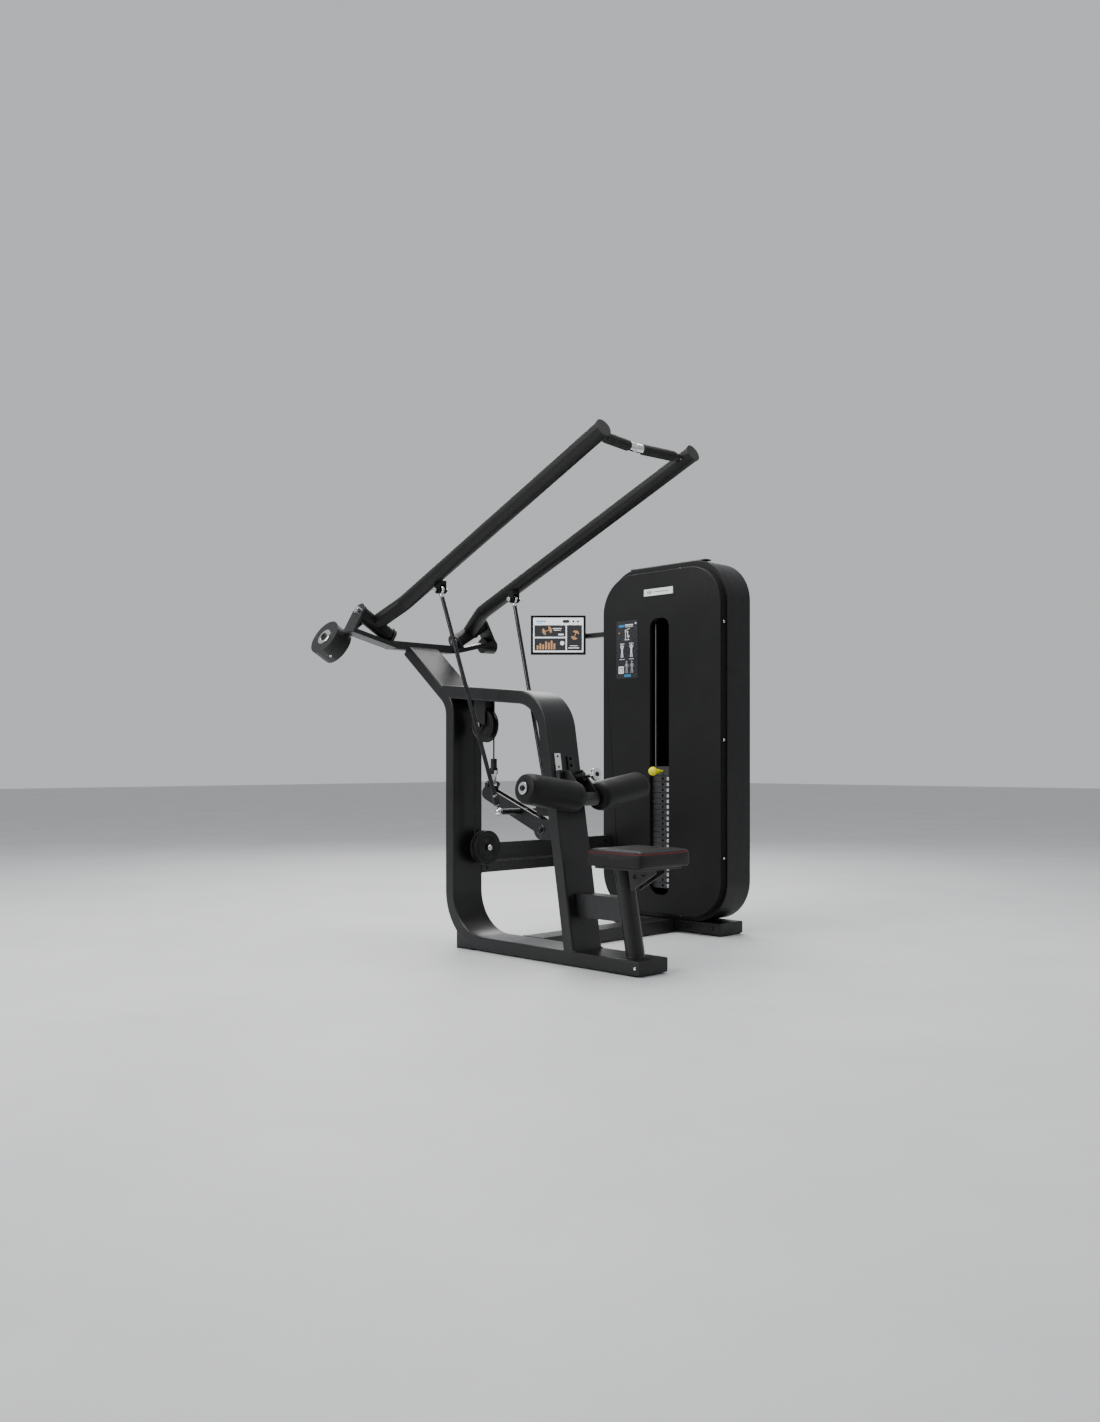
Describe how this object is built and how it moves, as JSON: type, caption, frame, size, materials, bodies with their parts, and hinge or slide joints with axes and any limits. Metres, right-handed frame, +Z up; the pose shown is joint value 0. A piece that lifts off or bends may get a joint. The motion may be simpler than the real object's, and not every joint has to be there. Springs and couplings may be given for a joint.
{
  "type": "lat pulldown machine",
  "caption": "Selectorised lat pulldown machine in black with diverging lever arms, a seat, thigh rollers, a shrouded weight stack and a side screen.",
  "frame": {"origin": "floor under the middle of the seat-end foot pad, in the user's mid-plane", "axes": "+X from the rear post towards the seat, +Y towards the weight tower, +Z up"},
  "size_m": [1.497, 1.4652, 1.8386],
  "materials": {
    "frame_paint": "satin",
    "tower_paint": "fine texture, matt",
    "arm_paint": "satin",
    "balance_paint": "matt",
    "rod_black": "satin",
    "plate_paint": "satin",
    "chrome": "polished",
    "steel": "satin",
    "black_plastic": "matt",
    "pulley_plastic": "satin",
    "cable_sheath": "gloss",
    "rubber": "matt",
    "grip_rubber": "ribbed",
    "upholstery": "grained",
    "roller_foam": "smooth, soft",
    "screen": "gloss",
    "label_print": "printed",
    "pin_yellow": "gloss"
  },
  "bodies": {
    "frame": {"base_tube": "frame_paint", "mast_tube": "frame_paint", "rear_foot": "frame_paint", "cross_base": "frame_paint", "tower_base": "frame_paint", "foot_pads": "rubber", "tube_end_caps": "black_plastic", "link_beam": "frame_paint", "crossbar": "frame_paint", "left_yoke": "frame_paint", "right_yoke": "frame_paint", "right_yoke_boss": "frame_paint", "arm_shafts": "chrome", "seat_link": "frame_paint", "seat_post": "frame_paint", "seat_bracket": "frame_paint", "seat_cushion": "upholstery", "lever_clevis": "frame_paint", "rubber_bumpers": "rubber", "pulley_mounts": "frame_paint", "pad_guide": "chrome", "frame_bolts": "chrome", "tower_shell": "tower_paint", "tower_front_panel": "tower_paint", "tower_back_panel": "tower_paint", "tower_frame": "frame_paint", "guide_rods": "chrome", "weight_plates": "plate_paint", "tower_labels": "label_print", "monitor_arm": "frame_paint", "monitor": "screen", "main_cable": "cable_sheath", "front_cable": "cable_sheath", "stack_cable": "cable_sheath"},
    "left_arm": {"left_arm": "arm_paint", "left_arm_cap": "black_plastic", "left_handle": "chrome", "left_grip": "grip_rubber", "left_balance_weight": "balance_paint"},
    "right_arm": {"right_arm": "arm_paint", "right_arm_cap": "black_plastic", "right_handle": "chrome", "right_grip": "grip_rubber"},
    "left_rod": {"left_push_rod": "rod_black"},
    "right_rod": {"right_push_rod": "rod_black"},
    "lever": {"lever": "frame_paint"},
    "shackle": {"cable_shackle": "chrome"},
    "cable_end": {"cable_socket": "black_plastic"},
    "stack": {"head_plate": "plate_paint", "selector_stem": "steel"},
    "selector_pin": {"selector_pin": "pin_yellow"},
    "upper_pulley": {"upper_pulley": "pulley_plastic"},
    "lower_pulley": {"lower_pulley": "pulley_plastic"},
    "tower_low_pulley": {"tower_low_pulley": "pulley_plastic"},
    "tower_top_pulley_a": {"tower_top_pulley_a": "pulley_plastic"},
    "tower_top_pulley_b": {"tower_top_pulley_b": "pulley_plastic"},
    "pad_carriage": {"pad_carriage": "frame_paint"},
    "pad_knob": {"pad_knob": "chrome"},
    "left_roller": {"left_roller": "roller_foam"},
    "right_roller": {"right_roller": "roller_foam"}
  },
  "joints": [
    {"name": "left_arm_swing", "type": "hinge", "parent": "frame", "child": "left_arm", "pos_m": [-1.152, -0.246, 1.267], "axis": [0, 0.866, -0.5], "range_deg": [0, 30]},
    {"name": "right_arm_swing", "type": "hinge", "parent": "frame", "child": "right_arm", "pos_m": [-1.152, 0.246, 1.267], "axis": [0, 0.866, 0.5], "range_deg": [0, 30]},
    {"name": "left_rod_pivot", "type": "hinge", "parent": "left_arm", "child": "left_rod", "pos_m": [-0.813, -0.19, 1.372], "axis": [0.526, -0.8439, 0.1052], "range_deg": [0, 27]},
    {"name": "right_rod_pivot", "type": "hinge", "parent": "right_arm", "child": "right_rod", "pos_m": [-0.813, 0.19, 1.372], "axis": [-0.526, -0.8439, -0.1052], "range_deg": [0, 27]},
    {"name": "lever_swing", "type": "hinge", "parent": "frame", "child": "lever", "pos_m": [-0.425, 0, 0.475], "axis": [0, -1, 0], "range_deg": [0, 65]},
    {"name": "cable_end_drop", "type": "slide", "parent": "frame", "child": "cable_end", "axis": [0, 0, -1], "range_m": [0, 0.372], "deforming": ["front_cable"]},
    {"name": "shackle_swing", "type": "hinge", "parent": "cable_end", "child": "shackle", "pos_m": [-0.722, 0, 0.6833], "axis": [0, -1, 0], "range_deg": [0, 35]},
    {"name": "stack_lift", "type": "slide", "parent": "frame", "child": "stack", "axis": [0, 0, 1], "range_m": [0, 0.372], "deforming": ["stack_cable"]},
    {"name": "upper_pulley_spin", "type": "hinge", "parent": "frame", "child": "upper_pulley", "pos_m": [-0.777, 0, 0.864], "axis": [0, 1, 0], "range_deg": [0, 390]},
    {"name": "lower_pulley_spin", "type": "hinge", "parent": "frame", "child": "lower_pulley", "pos_m": [-0.832, 0.055, 0.385], "axis": [-1, 0, 0], "range_deg": [0, 390]},
    {"name": "tower_low_pulley_spin", "type": "hinge", "parent": "frame", "child": "tower_low_pulley", "pos_m": [-0.832, 0.894, 0.366], "axis": [-1, 0, 0], "range_deg": [0, 595]},
    {"name": "tower_top_pulley_a_spin", "type": "hinge", "parent": "frame", "child": "tower_top_pulley_a", "pos_m": [-0.796, 0.93, 1.44], "axis": [0, -1, 0], "range_deg": [0, 595]},
    {"name": "tower_top_pulley_b_spin", "type": "hinge", "parent": "frame", "child": "tower_top_pulley_b", "pos_m": [-0.636, 0.93, 1.44], "axis": [0, -1, 0], "range_deg": [0, 595]},
    {"name": "pin_pull", "type": "slide", "parent": "stack", "child": "selector_pin", "axis": [0, -1, 0], "range_m": [0, 0.06]},
    {"name": "pad_height", "type": "slide", "parent": "frame", "child": "pad_carriage", "axis": [-0.1623, 0, 0.9867], "range_m": [-0.075, 0.075]},
    {"name": "knob_pull", "type": "slide", "parent": "pad_carriage", "child": "pad_knob", "axis": [0.9867, 0, 0.1623], "range_m": [0, 0.01], "stiffness_N_per_m": 900, "springref_m": -0.012},
    {"name": "left_roller_spin", "type": "hinge", "parent": "pad_carriage", "child": "left_roller", "pos_m": [-0.228, -0.049, 0.597], "axis": [-0.0391, -0.9893, 0.1408], "continuous": true},
    {"name": "right_roller_spin", "type": "hinge", "parent": "pad_carriage", "child": "right_roller", "pos_m": [-0.228, 0.049, 0.597], "axis": [-0.0391, 0.9893, 0.1408], "continuous": true}
  ],
  "couplings": [
    {"joint": "right_arm_swing", "follows": "left_arm_swing", "ratio": 1},
    {"joint": "left_rod_pivot", "follows": "left_arm_swing", "ratio": 0.88},
    {"joint": "right_rod_pivot", "follows": "left_arm_swing", "ratio": 0.88},
    {"joint": "lever_swing", "follows": "left_arm_swing", "ratio": 2.1485},
    {"joint": "cable_end_drop", "follows": "left_arm_swing", "m_per_rad": 0.7077},
    {"joint": "shackle_swing", "follows": "left_arm_swing", "ratio": 1.1501},
    {"joint": "stack_lift", "follows": "left_arm_swing", "m_per_rad": 0.7077},
    {"joint": "upper_pulley_spin", "follows": "left_arm_swing", "ratio": 12.867},
    {"joint": "lower_pulley_spin", "follows": "left_arm_swing", "ratio": 12.867},
    {"joint": "tower_low_pulley_spin", "follows": "left_arm_swing", "ratio": 19.658},
    {"joint": "tower_top_pulley_a_spin", "follows": "left_arm_swing", "ratio": 19.658},
    {"joint": "tower_top_pulley_b_spin", "follows": "left_arm_swing", "ratio": 19.658}
  ]
}
